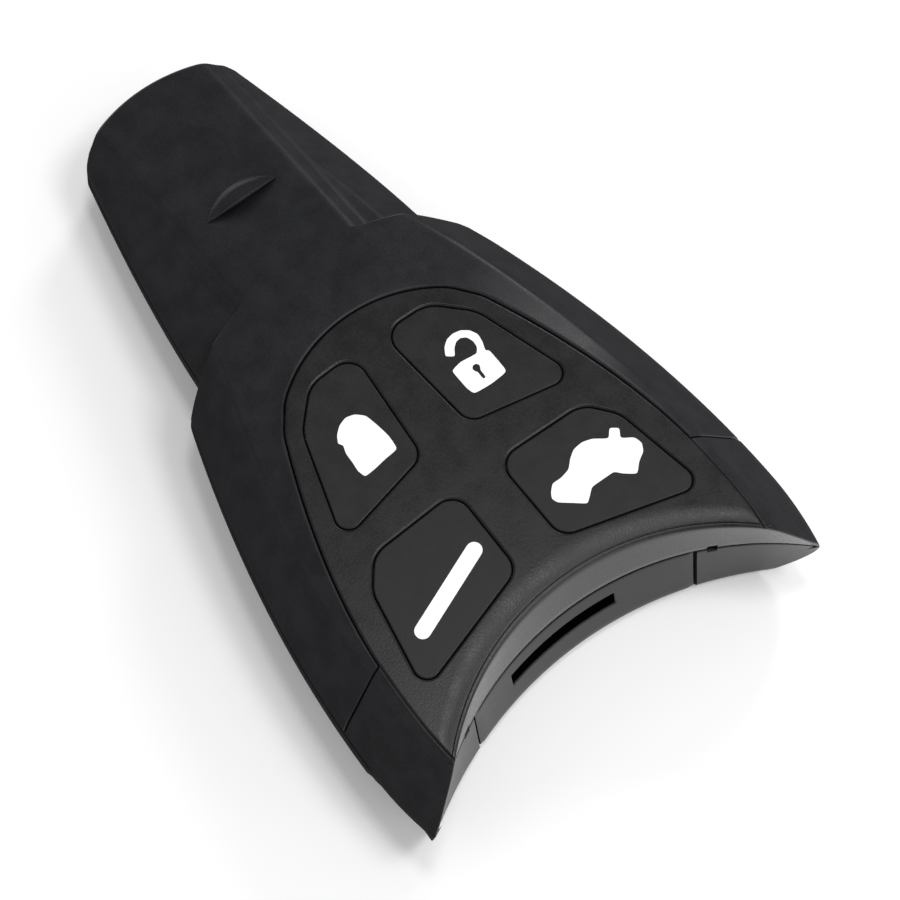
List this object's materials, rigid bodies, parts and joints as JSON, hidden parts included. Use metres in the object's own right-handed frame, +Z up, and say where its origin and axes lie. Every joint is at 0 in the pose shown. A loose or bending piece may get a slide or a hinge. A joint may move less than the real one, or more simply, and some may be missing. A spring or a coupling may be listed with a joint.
{
  "type": "remote key fob",
  "caption": "Wedge-shaped black remote key for a car with four pictogram keys under a lift-off cover, a hollow tail with an emergency blade slot, and a narrow nose.",
  "frame": {"origin": "middle of the flat back, under the middle of the bounding box", "axes": "+Y from the hollow tail to the rounded nose, +Z up out of the key panel, +X to the right with the nose away from the viewer"},
  "size_m": [0.0522, 0.0859, 0.016],
  "materials": {
    "case_black": "fine satin",
    "cover_black": "fine satin",
    "guide_black": "matte",
    "mat_rubber": "matte",
    "key_black": "matte",
    "switch_steel": "satin",
    "plunger_black": "matte",
    "board_green": "solder mask",
    "chip_black": "matte",
    "cell_steel": "bright",
    "contact_brass": "bright",
    "ferrite": "matte",
    "winding_copper": "enamelled copper",
    "spring_steel": "drawn wire"
  },
  "bodies": {
    "case": {"rear_shell": "case_black", "front_shell": "case_black", "blade_guide": "guide_black", "circuit_board": "board_green", "unlock_switch": "switch_steel", "lock_switch": "switch_steel", "trunk_switch": "switch_steel", "light_switch": "switch_steel", "controller_chip": "chip_black", "crystal": "switch_steel", "coin_cell": "cell_steel", "positive_contact": "contact_brass", "negative_contact": "contact_brass", "aerial_core": "ferrite", "aerial_winding": "winding_copper", "transponder": "chip_black", "release_spring_left": "spring_steel", "release_spring_right": "spring_steel"},
    "cover": {"button_cover": "cover_black", "keypad_mat": "mat_rubber"},
    "release": {"release_button": "guide_black", "blade_latch": "guide_black"},
    "unlock_key": {"unlock_button": "key_black"},
    "unlock_pin": {"unlock_plunger": "plunger_black"},
    "lock_key": {"lock_button": "key_black"},
    "lock_pin": {"lock_plunger": "plunger_black"},
    "trunk_key": {"trunk_button": "key_black"},
    "trunk_pin": {"trunk_plunger": "plunger_black"},
    "light_key": {"light_button": "key_black"},
    "light_pin": {"light_plunger": "plunger_black"}
  },
  "joints": [
    {"name": "cover_lift", "type": "slide", "parent": "case", "child": "cover", "axis": [0, 0, 1], "range_m": [0, 0.025]},
    {"name": "release_press", "type": "slide", "parent": "case", "child": "release", "axis": [0, 0, 1], "range_m": [0, 0.0006], "stiffness_N_per_m": 900, "deforming": ["release_spring_left", "release_spring_right"]},
    {"name": "unlock_press", "type": "slide", "parent": "cover", "child": "unlock_key", "axis": [0, 0, -1], "range_m": [0, 0.0005], "stiffness_N_per_m": 1500},
    {"name": "unlock_click", "type": "slide", "parent": "case", "child": "unlock_pin", "axis": [0, 0, -1], "range_m": [0, 0.0005]},
    {"name": "lock_press", "type": "slide", "parent": "cover", "child": "lock_key", "axis": [0, 0, -1], "range_m": [0, 0.0005], "stiffness_N_per_m": 1500},
    {"name": "lock_click", "type": "slide", "parent": "case", "child": "lock_pin", "axis": [0, 0, -1], "range_m": [0, 0.0005]},
    {"name": "trunk_press", "type": "slide", "parent": "cover", "child": "trunk_key", "axis": [0, 0, -1], "range_m": [0, 0.0005], "stiffness_N_per_m": 1500},
    {"name": "trunk_click", "type": "slide", "parent": "case", "child": "trunk_pin", "axis": [0, 0, -1], "range_m": [0, 0.0005]},
    {"name": "light_press", "type": "slide", "parent": "cover", "child": "light_key", "axis": [0, 0, -1], "range_m": [0, 0.0005], "stiffness_N_per_m": 1500},
    {"name": "light_click", "type": "slide", "parent": "case", "child": "light_pin", "axis": [0, 0, -1], "range_m": [0, 0.0005]}
  ],
  "couplings": [
    {"joint": "unlock_click", "follows": "unlock_press", "ratio": 1},
    {"joint": "lock_click", "follows": "lock_press", "ratio": 1},
    {"joint": "trunk_click", "follows": "trunk_press", "ratio": 1},
    {"joint": "light_click", "follows": "light_press", "ratio": 1}
  ]
}
